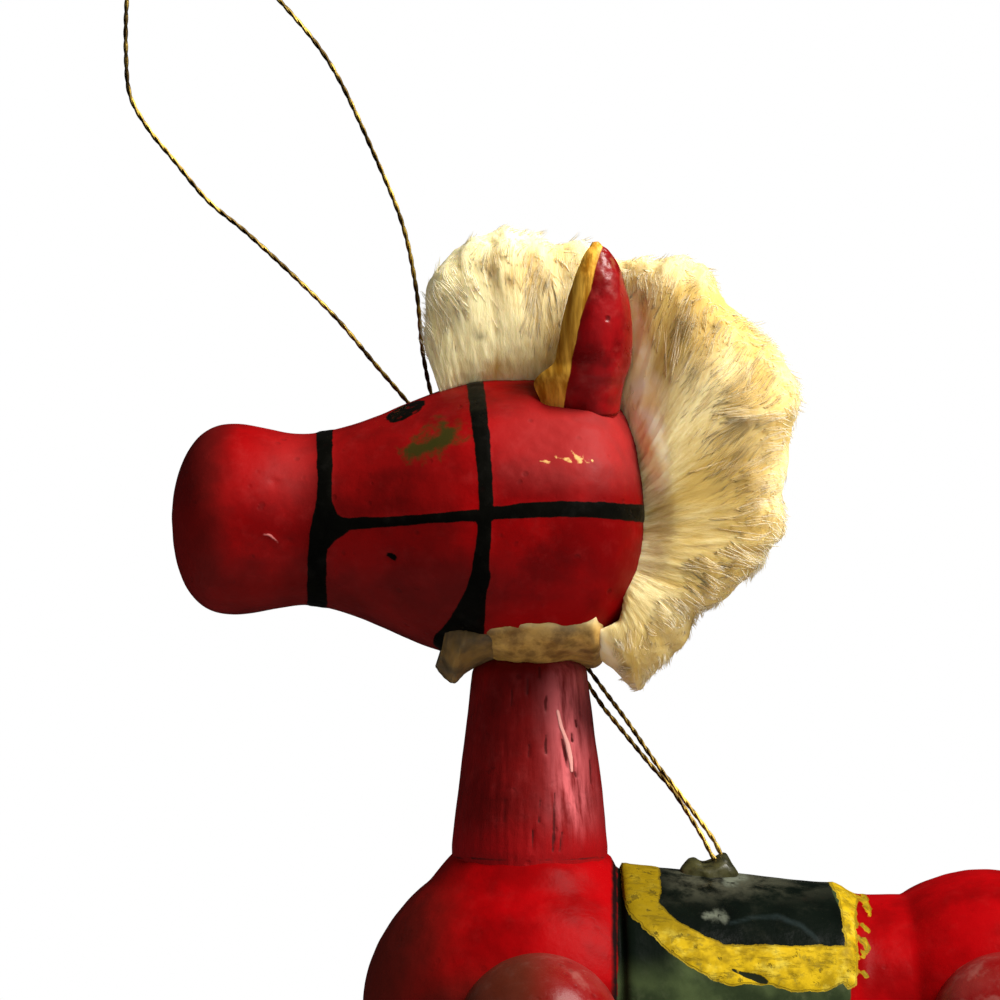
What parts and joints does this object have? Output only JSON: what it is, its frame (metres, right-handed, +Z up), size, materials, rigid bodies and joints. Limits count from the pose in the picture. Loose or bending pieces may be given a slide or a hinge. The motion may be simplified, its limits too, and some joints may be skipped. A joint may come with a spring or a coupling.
{
  "type": "rocking horse ornament",
  "caption": "Turned and painted wooden rocking horse with fur mane and tail on two curved rockers, hung by a gold thread loop or stood on a surface.",
  "frame": {"origin": "on the floor midway along and between the rockers, at the bottom centre of the object without its thread", "axes": "+X to the tail with the nose at -X, +Y to the horse's right side, +Z up"},
  "size_m": [0.09, 0.0388, 0.1215],
  "materials": {
    "red_painted_wood": "glossy red paint, darker on the muzzle, with black, green and gold painted tack",
    "dusty_red_painted_wood": "dull red paint, cracked along the grain",
    "red_and_bare_wood": "glossy red paint behind, bare amber wood on the scooped face",
    "cream_fur": "sheared cream fur, ochre in places, on its hide",
    "green_painted_wood": "satin dark green paint",
    "painted_glue": "grey-green painted drop of glue",
    "gold_thread": "glossy two-ply metallic thread"
  },
  "bodies": {
    "root": {"body": "red_painted_wood", "neck": "dusty_red_painted_wood", "head": "red_painted_wood", "ear_left": "red_and_bare_wood", "ear_right": "red_and_bare_wood", "mane": "cream_fur", "tail": "cream_fur", "leg_front_left": "red_painted_wood", "leg_front_right": "red_painted_wood", "leg_rear_left": "red_painted_wood", "leg_rear_right": "red_painted_wood", "rocker_left": "green_painted_wood", "rocker_right": "green_painted_wood", "crossbar_front": "green_painted_wood", "crossbar_rear": "green_painted_wood", "glue_drop": "painted_glue", "hanging_thread": "gold_thread"}
  },
  "joints": []
}
